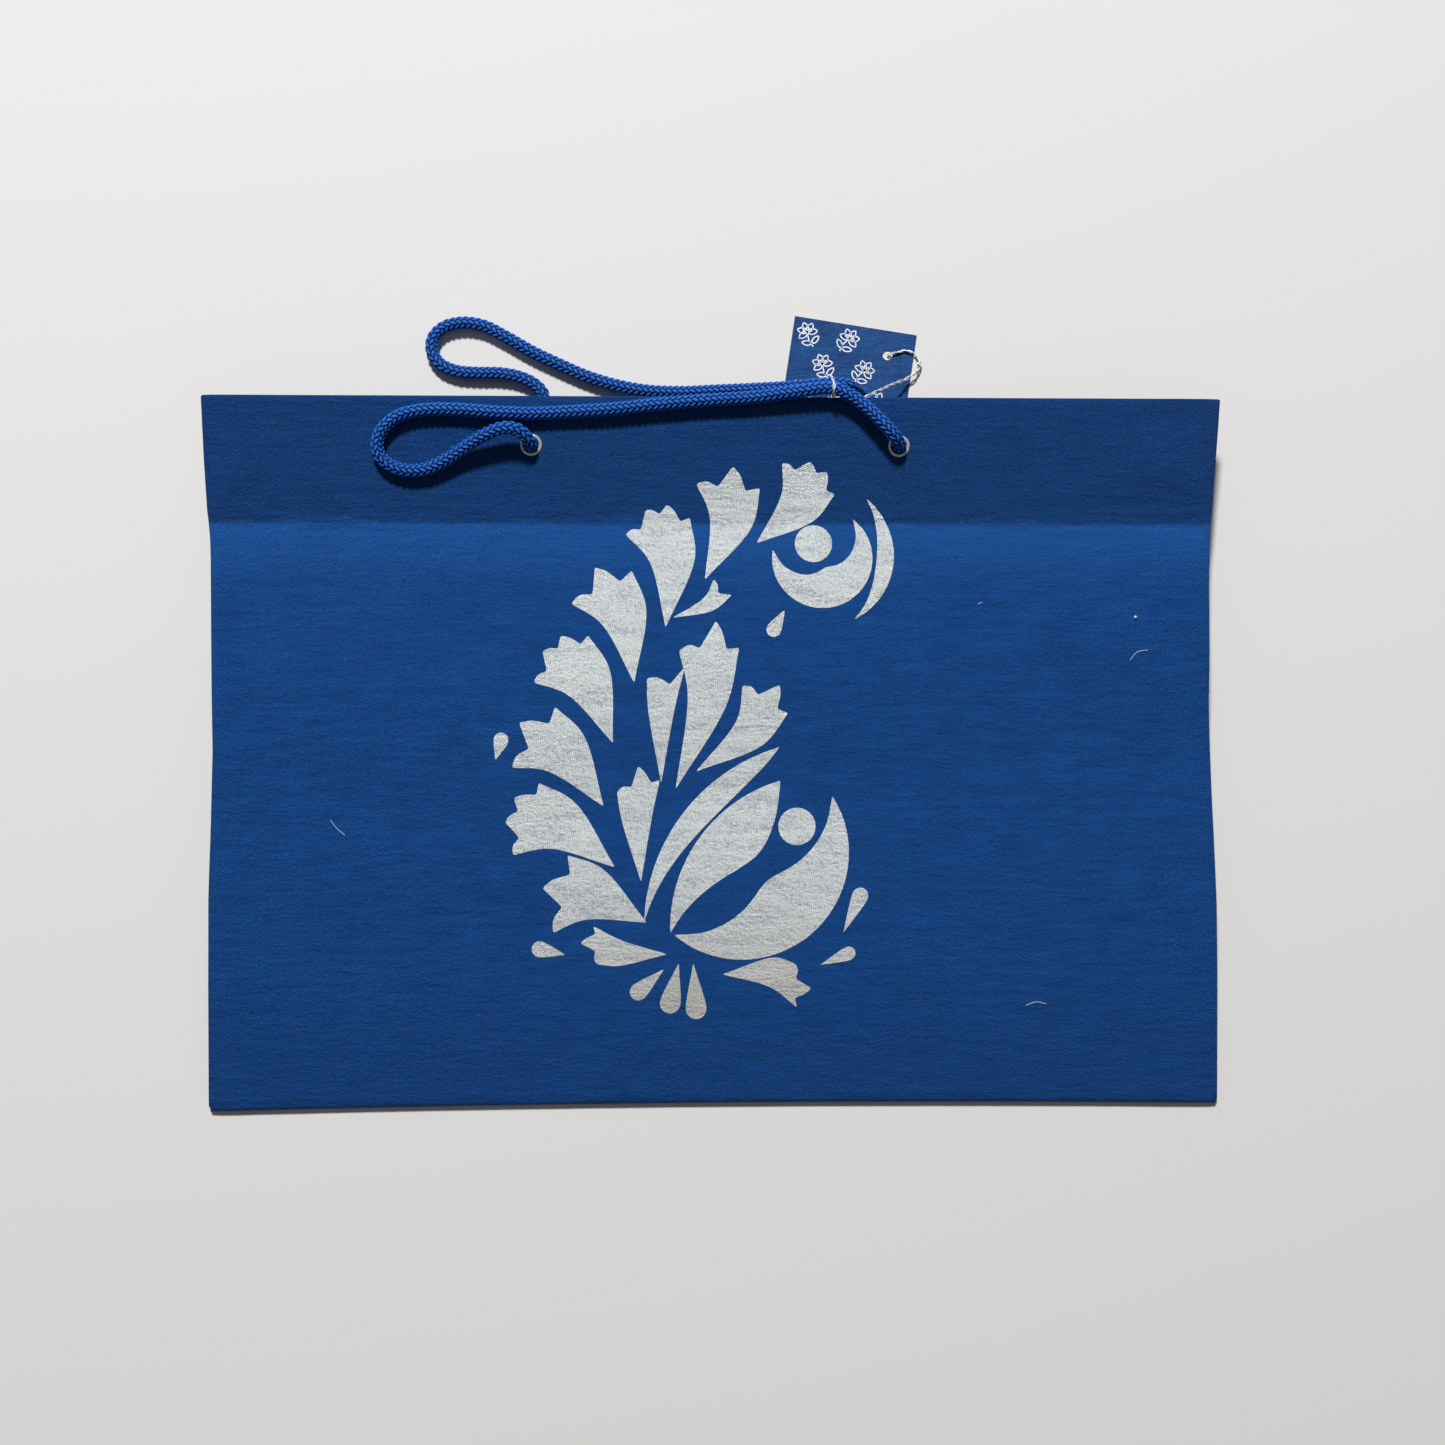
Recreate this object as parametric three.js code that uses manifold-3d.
// A landscape paper gift bag with two cord handles and a tied gift tag, folded flat and lying on its back.
// Millimetres. +X runs across the bag, +Y from its base to its mouth, +Z up from the floor.
// The origin is on the floor, under the middle of the bag.
import * as THREE from "three";
import { mergeVertices } from "three/addons/utils/BufferGeometryUtils.js";
import Module from "manifold-3d";

const wasm = await Module();
wasm.setup();

// ---- Driving dimensions ----
const bagWidth = 350;
const bagHeight = 245; // mouth to bottom edge, as it lies flat
const bagDepth = 90; // of the gussets and the base when the bag stands open
const cordDiameter = 4.7;
const paper = 0.5; // one layer of handmade paper
const layerGap = 0.3; // air between layers that lie on each other
const hemDepth = 43; // turned in at the mouth and glued, so the wall there is double

// Heights of the front panel's lower face, from the bottom edge up to the mouth.
const lowerFoldRise = 7;
const baseEdgeRise = 11.5;
const bellyRise = 14.8;
const crownRise = 16.3;
const creaseRise = 3.3 * cordDiameter;
const eyeletRise = 4.23 * cordDiameter; // at the eyelets, where knots lie between the two panels
// The back panel rests on the floor in its middle and is held up at the mouth by the cord and tag under it.
const backMouthRise = 1.915 * cordDiameter;
const backRestLength = 35; // how much of the back panel lies on the floor
const backRestStart = 25; // from the base's edge to where the back panel meets the floor

const eyeletSpacing = 127.2;
const eyeletDrop = 16.4; // from the mouth to an eyelet's centre
const eyeletFlange = cordDiameter + 2.9; // outer diameter
const eyeletRim = 0.7; // how far the rolled rim stands off the paper
const eyeletWall = 0.35; // of the barrel and the inner flange
const eyeletSeat = 0.15; // clearance between flange and paper
const holeClearance = 0.2; // around the barrel, in the paper

const cordClearance = 0.25; // around a cord in its eyelet
const stubReach = 0.18 * cordDiameter; // how far a cord runs straight past its eyelet
const knotWidth = 2.34 * cordDiameter;
const knotGap = 0.5; // between a knot and the walls above and below it
const knotShift = 1.6 * cordDiameter; // sideways from its eyelet
// Sideways and down, from the eyelet to where the cord turns to its knot.
const knotLead = [0.36 * cordDiameter, 0.34 * cordDiameter];
const restGap = 0.35; // between a cord and the floor it lies on

const tagWidth = 44;
const tagLength = 66;
const tagThickness = 0.6;
const tagHole = 3.7; // diameter
const tagHoleFromTop = 8.7;
const tagHoleFromSide = 9.2;
const tagTurn = THREE.MathUtils.degToRad(-8.8);

const threadDiameter = 0.8;
const threadLift = 0.35; // between the thread's middle turn and the cords it ties
const threadPitch = 1.2; // from one turn to the next

// ---- Places worked out from them ----
const half = bagWidth / 2;
const fold = bagDepth / 2; // how deep a gusset folds in, and where the back panel's lower fold lies
const bottom = -bagHeight / 2;
const mouth = bagHeight / 2;
const hemLine = bagHeight - hemDepth;
const pitch = paper + layerGap;
const mouthRise = creaseRise + ((eyeletRise - creaseRise) * hemDepth) / (hemDepth - eyeletDrop);
const overshoot = 1; // how far a cutter passes through what it cuts

// ---- How finely round things are made ----
const eyeletSides = 20;
const rimSteps = 5;
const cordSides = 10;
const cordSteps = 26;
const threadSides = 8;
const loopSteps = 22; // of the thread's turns round the cords
const runSteps = 18; // of the thread from there to the tag
const loopTurns = 1.25;

// ---- Helpers ----
function solid(geometry) {
  const bare = geometry.clone();
  bare.deleteAttribute("normal");
  bare.deleteAttribute("uv");
  const merged = mergeVertices(bare, 1e-4);
  const vertProperties = new Float32Array(merged.attributes.position.array);
  const triVerts = new Uint32Array(merged.index.array);
  return new wasm.Manifold(new wasm.Mesh({ numProp: 3, vertProperties, triVerts }));
}

function geometryOf(body) {
  const mesh = body.getMesh();
  const geometry = new THREE.BufferGeometry();
  geometry.setAttribute("position", new THREE.BufferAttribute(mesh.vertProperties, 3));
  geometry.setIndex(new THREE.BufferAttribute(mesh.triVerts, 1));
  geometry.computeVertexNormals();
  return geometry;
}

const join = (bodies) => bodies.reduce((whole, body) => whole.add(body));

// Moves every vertex of a geometry to the place that move() gives for it.
function reshape(geometry, move) {
  const position = geometry.attributes.position;
  const vertex = new THREE.Vector3();
  for (let i = 0; i < position.count; i++) {
    vertex.fromBufferAttribute(position, i);
    position.setXYZ(i, ...move(vertex));
  }
  return geometry;
}

// A sheet over a grid of columns (x) and rows (height up the bag), between the faces low() and high().
function sheet(columns, rows, low, high) {
  const across = columns.length - 1;
  const along = rows.length - 1;
  const box = new THREE.BoxGeometry(1, 1, 1, across, along, 1);
  return solid(
    reshape(box, ({ x, y, z }) => {
      const column = columns[Math.round((x + 0.5) * across)];
      const row = rows[Math.round((y + 0.5) * along)];
      return [column, bottom + row, (z < 0 ? low : high)(column, row)];
    }),
  );
}

// A flat piece with any straight-sided outline, its faces at low() and high().
function patch(outline, low, high) {
  const shape = new THREE.Shape(outline.map(([x, row]) => new THREE.Vector2(x, row)));
  const prism = new THREE.ExtrudeGeometry(shape, { depth: 1, bevelEnabled: false });
  return solid(reshape(prism, ({ x, y, z }) => [x, bottom + y, (z < 0.5 ? low : high)(x, y)]));
}

// The bend of a fold: a strip along the line from start to end, as wide as inward says, in papers.
function bend(start, end, inward, low, high) {
  const [dx, dy] = inward.map((part) => part * paper);
  return patch([start, end, [end[0] + dx, end[1] + dy], [start[0] + dx, start[1] + dy]], low, high);
}

// Straight runs between named stations up the bag: [height up the bag, height off the floor].
function profile(stations) {
  return (x, row) => {
    const last = stations.length - 1;
    const next = stations.findIndex(([at], i) => i > 0 && (row <= at || i === last));
    const [fromRow, fromRise] = stations[next - 1];
    const [toRow, toRise] = stations[next];
    return fromRise + ((row - fromRow) / (toRow - fromRow)) * (toRise - fromRise);
  };
}

const constant = (value) => () => value;
const above = (face, gap) => (x, row) => face(x, row) + gap;

// ---- The folded paper ----
const restFrom = bagDepth + backRestStart;
const restTo = restFrom + backRestLength;
const crownFrom = restTo;
const crownTo = (restTo + hemLine) / 2;

const frontFace = profile([
  [0, 3 * pitch],
  [fold, lowerFoldRise],
  [bagDepth, baseEdgeRise],
  [restFrom, bellyRise],
  [crownFrom, crownRise],
  [crownTo, crownRise],
  [hemLine, creaseRise],
  [bagHeight, mouthRise],
]);
const backFace = profile([
  [fold, 4 * pitch],
  [bagDepth, 4 * pitch],
  [restFrom, 0],
  [restTo, 0],
  [hemLine, backMouthRise],
  [bagHeight, backMouthRise],
]);

// Each gusset is a V that points inwards: 0 at the side edge, 1 at the fold in its middle.
const inwardShare = (x) => (half - Math.abs(x)) / fold;
const middleFace = (x, row) => (frontFace(x, row) + backFace(x, row)) / 2;
const leg = (edge, middle) => (x, row) =>
  THREE.MathUtils.lerp(edge(x, row), middle(x, row), inwardShare(x));

const shares = [0, 0.25, 0.5, 0.75, 1];
const hemRows = [0, 1, 2, 3].map((step) => hemLine + (step * hemDepth) / 3);

function gusset(side) {
  const at = (inset) => side * (half - inset);
  const columns = shares.map((share) => at(share * fold)).sort((a, b) => a - b);
  const rows = [fold, bagDepth, restFrom, restTo, crownTo, ...hemRows];
  const frontLeg = leg(frontFace, middleFace);
  const backLeg = leg(backFace, middleFace);
  const wrapRow = fold - pitch; // the lower fold wraps round the back panel's own fold

  // Corners of the folded base: A at the bottom edge, B at the base's far edge, C on the lower fold, and F at
  // the foot of the V.
  const A = [at(0), 0];
  const B = [at(0), bagDepth];
  const C = [at(0), fold];
  const F = [at(fold), fold];
  const cornerFace = (x, row) =>
    frontFace(x, row) -
    ((frontFace(x, fold) - middleFace(x, fold)) * (half - Math.abs(x))) / fold;

  return [
    sheet(columns, rows, frontLeg, above(frontLeg, paper)),
    sheet(columns, [wrapRow, ...rows], backLeg, above(backLeg, paper)),
    // The hem, turned in: above the front leg and below the back leg.
    sheet(
      columns,
      hemRows,
      leg(above(frontFace, -paper), middleFace),
      leg(above(frontFace, paper), above(middleFace, 2 * paper)),
    ),
    sheet(
      columns,
      hemRows,
      leg(backFace, above(middleFace, -paper)),
      leg(above(backFace, 2 * paper), above(middleFace, paper)),
    ),
    // The gusset's foot, folded on its diagonals into triangles that lie on the base.
    patch([A, F, B], constant(pitch), constant(pitch + paper)),
    patch([A, C, F], cornerFace, above(cornerFace, paper)),
    patch(
      [[at(fold), wrapRow], [at(0), wrapRow], C, B, F],
      constant(2 * pitch),
      constant(2 * pitch + paper),
    ),
    bend(A, B, [-side, 0], constant(0), constant(pitch + paper)),
    bend(A, F, [0, Math.SQRT2], constant(pitch), above(cornerFace, paper)),
    bend(F, B, [0, -Math.SQRT2], constant(pitch), constant(2 * pitch + paper)),
    bend(C, B, [-side, 0], constant(2 * pitch), constant(3 * pitch + paper)),
    bend([at(0), wrapRow], [at(fold), wrapRow], [0, 1], constant(2 * pitch), above(backLeg, paper)),
  ];
}

function foldedPaper() {
  const columns = [-half, 0, half];
  const rows = [0, fold, bagDepth, restFrom, crownFrom, crownTo, ...hemRows];
  const backRows = [fold, bagDepth, restFrom, restTo, ...hemRows];
  const left = (row) => [-half, row];
  const right = (row) => [half, row];
  return join([
    sheet(columns, rows, frontFace, above(frontFace, paper)),
    sheet(columns, hemRows, above(frontFace, -paper), above(frontFace, paper)),
    sheet(columns, [0, bagDepth], constant(0), constant(paper)), // the base
    // The foot of the back panel.
    sheet(columns, [fold, bagDepth], constant(3 * pitch), constant(3 * pitch + paper)),
    sheet(columns, backRows, backFace, above(backFace, paper)),
    sheet(columns, hemRows, backFace, above(backFace, 2 * paper)),
    bend(left(0), right(0), [0, 1], constant(0), above(frontFace, paper)),
    bend(left(bagDepth), right(bagDepth), [0, -1], constant(0), constant(3 * pitch + paper)),
    bend(left(fold), right(fold), [0, 1], constant(3 * pitch), above(backFace, paper)),
    ...gusset(-1),
    ...gusset(1),
  ]);
}

// ---- Eyelets ----
const boreRadius = cordDiameter / 2 + cordClearance;
const barrelRadius = boreRadius + eyeletWall;
const grip = paper + eyeletSeat; // from the middle of the doubled wall to a flange
const eyeletRow = bagHeight - eyeletDrop;
const frontTilt = Math.atan((mouthRise - creaseRise) / hemDepth);

// The rolled rim faces up, away from the bag's inside on the front panel, and down on the back panel.
function eyeletGeometry() {
  const flangeRadius = eyeletFlange / 2;
  const rollRadius = (flangeRadius - boreRadius) / 2;
  const rollMiddle = boreRadius + rollRadius;
  const outline = [
    [boreRadius, -grip - eyeletWall],
    [flangeRadius - eyeletWall, -grip - eyeletWall],
    [flangeRadius - eyeletWall, -grip],
    [barrelRadius, -grip],
    [barrelRadius, grip],
    [flangeRadius, grip],
  ];
  for (let i = 1; i <= rimSteps; i++) {
    const angle = (Math.PI * i) / rimSteps;
    outline.push([rollMiddle + rollRadius * Math.cos(angle), grip + eyeletRim * Math.sin(angle)]);
  }
  outline.push(outline[0]);
  const points = outline.map(([r, z]) => new THREE.Vector2(r, z));
  return new THREE.LatheGeometry(points, eyeletSides).rotateX(Math.PI / 2);
}

function eyeletPlaces() {
  const y = bottom + eyeletRow;
  return ["front", "back"].flatMap((panel) =>
    [-1, 1].map((side) => {
      const isFront = panel === "front";
      const wallMiddle = isFront ? frontFace(0, eyeletRow) : backFace(0, eyeletRow) + paper;
      return {
        panel,
        name: `eyelet_${panel}_${side < 0 ? "left" : "right"}`,
        position: new THREE.Vector3((side * eyeletSpacing) / 2, y, wallMiddle),
        tilt: isFront ? frontTilt : Math.PI,
      };
    }),
  );
}

const placed = (geometry, { position, tilt }) =>
  geometry.clone().rotateX(tilt).translate(position.x, position.y, position.z);

const eyelets = eyeletPlaces();

function bagBody() {
  const cutterLength = 2 * paper + 2 * overshoot;
  const cutter = new THREE.CylinderGeometry(
    barrelRadius + holeClearance,
    barrelRadius + holeClearance,
    cutterLength,
    eyeletSides,
  ).rotateX(Math.PI / 2);
  return eyelets.reduce((bag, place) => bag.subtract(solid(placed(cutter, place))), foldedPaper());
}

// ---- Cords ----
// The first two numbers of a route's points are across the bag and beyond the mouth's edge. They are written
// for eyelets this far apart and this far down and a cord this thick, and stretch with them.
const laidOut = { spacing: 127.2, drop: 16.4, cord: 4.7 };
const stretchedAcross = (x) => (x * eyeletSpacing) / laidOut.spacing;
const stretchedBeyond = (y) => y * (y < 0 ? eyeletDrop / laidOut.drop : cordDiameter / laidOut.cord);

function routePoint([x, beyond, third], height) {
  const y = stretchedBeyond(beyond);
  return new THREE.Vector3(stretchedAcross(x), mouth + y, height(third, y));
}

// How high a cord lies on the floor, and on the front panel or its slope's continuation past the mouth.
const lyingOnFloor = cordDiameter / 2 + restGap;
const frontSlope = (mouthRise - creaseRise) / hemDepth;
const lyingOnFront = (beyond) => mouthRise + frontSlope * beyond + paper + cordDiameter / 2;
// How high the back cord is where the thread ties it, close under the front cord.
const tieRise = lyingOnFront(0) - 0.436 * cordDiameter;
const threadOnTag = tagThickness + 0.9;

// Third number of the front cord: how many cord diameters it is above lying on the front.
const alongFront = (point) => routePoint(point, (lift, y) => lyingOnFront(y) + lift * cordDiameter);
// Third number of the back cord and the thread: the share of the way up from where they lie to the tie.
const risingFrom = (low) => (share) => THREE.MathUtils.lerp(low, tieRise, share);
const alongFloor = (point) => routePoint(point, risingFrom(lyingOnFloor));
const alongTag = (point) => routePoint(point, risingFrom(threadOnTag));

const frontRoute = [
  [-63.9, -16.5, 0.22],
  [-65.0, -14.9, 0.68],
  [-68.0, -12.7, 0.99],
  [-72.6, -12.2, 1.06],
  [-77.8, -13.8, 0.92],
  [-82.8, -16.3, 0.64],
  [-87.9, -19.3, 0.35],
  [-93.7, -22.8, 0.19],
  [-99.9, -25.3, 0.12],
  [-106.1, -25.7, 0.11],
  [-112.2, -23.7, 0.11],
  [-115.6, -20.0, 0.10],
  [-115.8, -15.4, 0.08],
  [-113.6, -11.2, 0.07],
  [-109.2, -7.7, 0.07],
  [-102.6, -5.7, 0.07],
  [-95.1, -5.1, 0.07],
  [-86.9, -5.3, 0.07],
  [-74.6, -6.1, 0.08],
  [-62.1, -6.4, 0.09],
  [-50.2, -5.8, 0.09],
  [-36.0, -4.9, 0.08],
  [-19.0, -3.1, 0.09],
  [-2.0, -1.7, 0.09],
  [14.0, -0.6, 0.16],
  [28.0, 1.1, 0.29],
  [40.0, 2.1, 0.43],
  [46.8, -0.7, 0.50],
  [52.9, -5.6, 0.77],
  [58.2, -10.9, 1.02],
  [61.6, -14.3, 0.83],
  [63.2, -16.2, 0.26],
];
const backRoute = [
  [-63.6, -15.9, 0.17],
  [-63.2, -14.2, 0.07],
  [-62.5, -10.8, 0.01],
  [-61.0, -5.0, 0.00],
  [-59.8, 1.0, 0.00],
  [-60.4, 5.2, 0.00],
  [-63.6, 8.6, 0.00],
  [-68.8, 11.0, 0.00],
  [-75.5, 12.2, 0.00],
  [-83.5, 12.3, 0.00],
  [-91.0, 13.0, 0.00],
  [-96.6, 15.6, 0.00],
  [-99.3, 19.9, 0.00],
  [-98.9, 24.8, 0.00],
  [-95.2, 28.6, 0.00],
  [-88.6, 30.2, 0.00],
  [-81.4, 29.2, 0.00],
  [-74.0, 25.6, 0.00],
  [-64.5, 20.2, 0.00],
  [-54.6, 15.5, 0.00],
  [-44.6, 11.2, 0.00],
  [-34.0, 8.0, 0.01],
  [-23.0, 5.9, 0.06],
  [-11.0, 5.0, 0.18],
  [1.0, 4.9, 0.34],
  [13.0, 4.6, 0.54],
  [25.0, 4.3, 0.77],
  [33.0, 4.4, 0.93],
  [40.0, 4.6, 1.00],
  [45.6, 4.5, 0.93],
  [48.8, 4.2, 0.71],
  [50.8, 3.9, 0.49],
  [52.8, 3.6, 0.28],
  [55.4, 1.3, 0.11],
  [58.2, -3.6, 0.04],
  [61.0, -9.2, 0.03],
  [62.9, -13.4, 0.06],
  [63.5, -15.6, 0.15],
];
const tieAcross = stretchedAcross(40); // where the thread ties the two cords together
const threadRoute = [
  [43.6, 1.3, 0.83],
  [47.6, 1.0, 0.72],
  [51.6, 1.4, 0.63],
  [55.8, 3.6, 0.52],
  [60.4, 6.4, 0.37],
  [65.0, 9.0, 0.20],
  [69.3, 11.2, 0.08],
  [72.6, 14.0, 0.02],
  [73.6, 17.2, 0.00],
  [72.2, 20.0, 0.00],
  [69.2, 21.3, 0.00],
  [66.2, 21.0, 0.00],
  [64.2, 20.5, 0.00],
  [62.9, 20.2, -0.01],
  [62.3, 20.0, -0.04],
];

function circle(radius, sides) {
  const corners = [];
  for (let i = 0; i < sides; i++) {
    const angle = (2 * Math.PI * i) / sides;
    corners.push(new THREE.Vector2(radius * Math.cos(angle), radius * Math.sin(angle)));
  }
  return new THREE.Shape(corners);
}

function tube(path, diameter, sides, steps) {
  const section = circle(diameter / 2, sides);
  return solid(new THREE.ExtrudeGeometry(section, { steps, extrudePath: path, bevelEnabled: false }));
}

const smoothPath = (points) => new THREE.CatmullRomCurve3(points, false, "centripetal");

// The stretch of cord through an eyelet, and on inside the bag to the overhand knot that stops it there.
// The front cord's knots lie towards the middle and the back cord's towards the sides: they don't fit on top
// of each other.
function stopped(place) {
  const isFront = place.panel === "front";
  const radius = cordDiameter / 2;
  const outside = grip + eyeletRim + stubReach;
  const inside = grip + eyeletWall + stubReach;
  const length = outside + inside;
  const cylinder = new THREE.CylinderGeometry(radius, radius, length, cordSides)
    .rotateX(Math.PI / 2)
    .translate(0, 0, (outside - inside) / 2);
  const onAxis = (z) =>
    new THREE.Vector3(0, 0, z).applyAxisAngle(new THREE.Vector3(1, 0, 0), place.tilt).add(place.position);

  const sideways = Math.sign(place.position.x) * (isFront ? -1 : 1);
  const down = isFront ? -1 : 1; // into the bag
  const roomBottom = backFace(0, eyeletRow) + 2 * paper;
  const roomTop = frontFace(0, eyeletRow) - paper;
  const start = onAxis(-inside);
  const turn = start.clone().add(new THREE.Vector3(sideways * knotLead[0], 0, down * knotLead[1]));
  const middle = new THREE.Vector3(
    place.position.x + sideways * knotShift,
    place.position.y,
    (roomBottom + roomTop) / 2,
  );
  const knot = new THREE.SphereGeometry(0.5, 14, 9)
    .rotateX(Math.PI / 2)
    .scale(knotWidth, knotWidth, roomTop - roomBottom - 2 * knotGap)
    .translate(...middle);
  const ball = ({ x, y, z }) =>
    solid(new THREE.SphereGeometry(radius, cordSides, cordSides / 2 + 1).translate(x, y, z));
  const link = (from, to) => tube(new THREE.LineCurve3(from, to), cordDiameter, cordSides, 1);
  const pieces = [
    solid(placed(cylinder, place)),
    ball(start),
    link(start, turn),
    ball(turn),
    link(turn, middle),
    solid(knot),
  ];
  return { body: join(pieces), top: onAxis(outside) };
}

function handleCord(panel, route) {
  const [left, right] = eyelets.filter((place) => place.panel === panel).map(stopped);
  const path = smoothPath([left.top, ...route, right.top]);
  const body = join([tube(path, cordDiameter, cordSides, cordSteps), left.body, right.body]);
  return { body, line: path.getSpacedPoints(cordSteps) };
}

const frontHandle = handleCord("front", frontRoute.map(alongFront));
const backHandle = handleCord("back", backRoute.map(alongFloor));

// Where a cord's middle line last passes a place across the bag.
function passing(line, x) {
  const next = line.findLastIndex((point, i) => i > 0 && line[i - 1].x <= x && x < point.x);
  const [from, to] = [line[next - 1], line[next]];
  return from.clone().lerp(to, (x - from.x) / (to.x - from.x));
}

const tie = { front: passing(frontHandle.line, tieAcross), back: passing(backHandle.line, tieAcross) };

// One turn and a quarter round both cords, as a loop with two round ends and two straight sides.
class TieLoop extends THREE.Curve {
  getPoint(share, target = new THREE.Vector3()) {
    const radius = cordDiameter / 2 + threadDiameter / 2 + threadLift;
    const between = tie.front.distanceTo(tie.back);
    const up = tie.front.clone().sub(tie.back).normalize();
    const out = new THREE.Vector3(0, up.z, -up.y);
    const arc = Math.PI * radius;
    const round = 2 * (arc + between);
    const end = arc + between;
    const along = (end - (1 - share) * loopTurns * round + 2 * round) % round;
    target.copy(tie.back);
    const put = (angle, shift) => {
      target.addScaledVector(out, radius * Math.cos(angle));
      target.addScaledVector(up, radius * Math.sin(angle) + shift);
    };
    if (along < arc) put(along / radius, between);
    else if (along < arc + between) put(Math.PI, between - (along - arc));
    else if (along < 2 * arc + between) put(Math.PI + (along - arc - between) / radius, 0);
    else put(0, along - 2 * arc - between);
    target.x += threadPitch * loopTurns * (share - 0.5);
    return target;
  }
}

function tagThread() {
  const loop = new TieLoop();
  const end = loop.getPoint(1);
  const before = loop.getPoint(1 - 0.5 / loopSteps);
  const run = smoothPath([before, end, ...threadRoute.map(alongTag)]);
  const turns = tube(loop, threadDiameter, threadSides, loopSteps);
  return turns.add(tube(run, threadDiameter, threadSides, runSteps));
}

// ---- Gift tag ----
function giftTag() {
  const right = tagHoleFromSide;
  const left = right - tagWidth;
  const top = tagHoleFromTop;
  const foot = top - tagLength;
  const outline = new THREE.Shape([
    new THREE.Vector2(left, foot),
    new THREE.Vector2(right, foot),
    new THREE.Vector2(right, top),
    new THREE.Vector2(left, top),
  ]);
  const hole = new THREE.Path().absarc(0, 0, tagHole / 2, 0, 2 * Math.PI, true);
  outline.holes.push(hole);
  const options = { depth: tagThickness, bevelEnabled: false, curveSegments: 16 };
  return new THREE.ExtrudeGeometry(outline, options);
}

// ---- The assembly ----
function finish(color, roughness, metalness = 0) {
  return new THREE.MeshStandardMaterial({ color, roughness, metalness });
}

function part(name, geometry, material) {
  const mesh = new THREE.Mesh(geometry, material);
  mesh.name = name;
  return mesh;
}

const giftBag = new THREE.Group();
giftBag.add(part("bag_body", geometryOf(bagBody()), finish(0x1c4585, 0.75)));
for (const place of eyelets) {
  const eyelet = part(place.name, eyeletGeometry(), finish(0xb9bdc2, 0.3, 1));
  eyelet.position.copy(place.position);
  eyelet.rotation.x = place.tilt;
  giftBag.add(eyelet);
}
giftBag.add(part("handle_cord_front", geometryOf(frontHandle.body), finish(0x16479c, 0.8)));
giftBag.add(part("handle_cord_back", geometryOf(backHandle.body), finish(0x16479c, 0.8)));
giftBag.add(part("tag_thread", geometryOf(tagThread()), finish(0xc9ccd0, 0.35, 0.8)));

const tagGroup = new THREE.Group();
const [holeAcross, holeBeyond] = threadRoute.at(-1);
tagGroup.position.set(stretchedAcross(holeAcross), mouth + stretchedBeyond(holeBeyond), 0);
tagGroup.rotation.z = tagTurn;
tagGroup.add(part("gift_tag", giftTag(), finish(0x2a5596, 0.7)));
giftBag.add(tagGroup);

export default giftBag;
